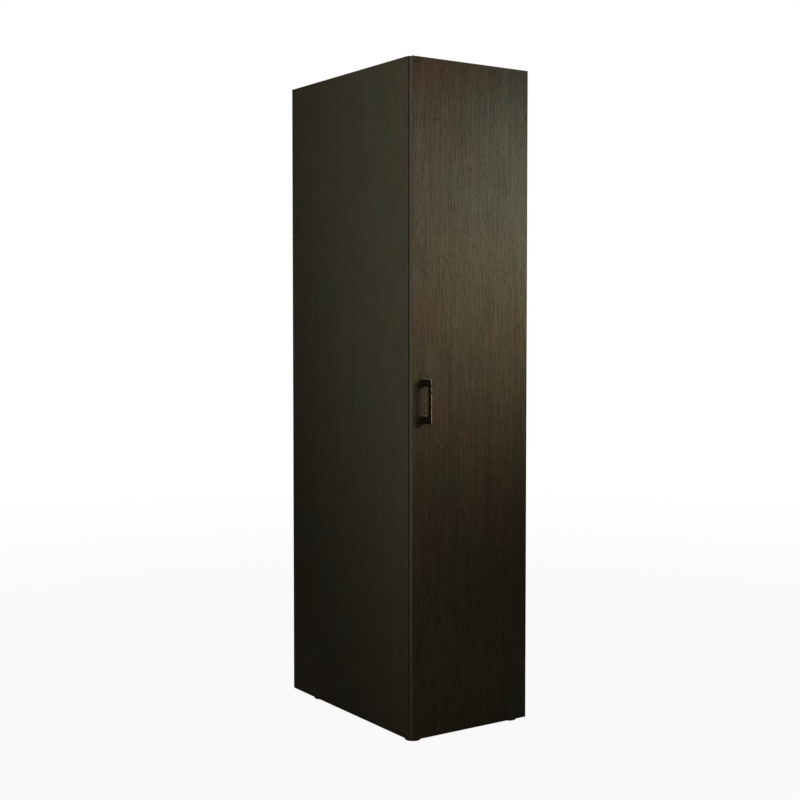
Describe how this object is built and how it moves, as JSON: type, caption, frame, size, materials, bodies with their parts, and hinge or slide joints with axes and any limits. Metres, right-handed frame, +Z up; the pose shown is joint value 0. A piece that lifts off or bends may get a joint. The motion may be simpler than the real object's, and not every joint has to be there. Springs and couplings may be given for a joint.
{
  "type": "tall storage cabinet",
  "caption": "Tall narrow storage cabinet in dark wood-grain board, with a full-height hinged door, a C-shaped pull handle, shelves inside and round feet.",
  "frame": {"origin": "on the floor, under the middle of the overall box", "axes": "+Z up, -Y towards the viewer of the closed door, +X to the door's hinged edge"},
  "size_m": [0.4376, 0.735, 2.04],
  "materials": {
    "carcass_board": "dark wood-grain laminate on particle board, satin",
    "door_board": "dark wood-grain laminate on particle board, satin",
    "back_board": "thin printed fibreboard, matt",
    "edge_strip": "plastic edge strip to match the board",
    "handle_bronze": "dark antique bronze over die-cast zinc, worn on the edges",
    "hinge_steel": "dark bronze plated steel",
    "zinc_steel": "bright zinc plated steel",
    "catch_plastic": "dark brown moulded plastic",
    "bumper": "soft clear-grey dots",
    "foot_plastic": "black moulded plastic"
  },
  "bodies": {
    "cabinet": {"left_side": "carcass_board", "right_side": "carcass_board", "left_side_edging": "edge_strip", "right_side_edging": "edge_strip", "top_panel": "carcass_board", "bottom_panel": "carcass_board", "fixed_shelf": "carcass_board", "cross_edging": "edge_strip", "back_panel": "back_board", "adjustable_shelf_1": "carcass_board", "adjustable_shelf_2": "carcass_board", "adjustable_shelf_3": "carcass_board", "adjustable_shelf_4": "carcass_board", "shelf_edging": "edge_strip", "shelf_supports_1": "zinc_steel", "shelf_supports_2": "zinc_steel", "shelf_supports_3": "zinc_steel", "shelf_supports_4": "zinc_steel", "hinge_side_leaf_1": "hinge_steel", "hinge_side_leaf_2": "hinge_steel", "hinge_side_leaf_3": "hinge_steel", "hinge_pin_1": "hinge_steel", "hinge_pin_2": "hinge_steel", "hinge_pin_3": "hinge_steel", "catch_housing": "catch_plastic", "catch_pole_plates": "zinc_steel", "front_feet": "foot_plastic", "rear_feet": "foot_plastic", "wall_bracket": "zinc_steel", "bracket_screws": "zinc_steel"},
    "door": {"door": "door_board", "door_edging_sides": "edge_strip", "door_edging_ends": "edge_strip", "door_bumpers": "bumper", "handle": "handle_bronze", "handle_screws": "zinc_steel", "hinge_door_leaf_1": "hinge_steel", "hinge_door_leaf_2": "hinge_steel", "hinge_door_leaf_3": "hinge_steel", "strike_plate": "zinc_steel"}
  },
  "joints": [
    {"name": "door_hinge", "type": "hinge", "parent": "cabinet", "child": "door", "pos_m": [0.219, -0.3135, 0], "axis": [0, 0, 1], "range_deg": [0, 180]}
  ]
}
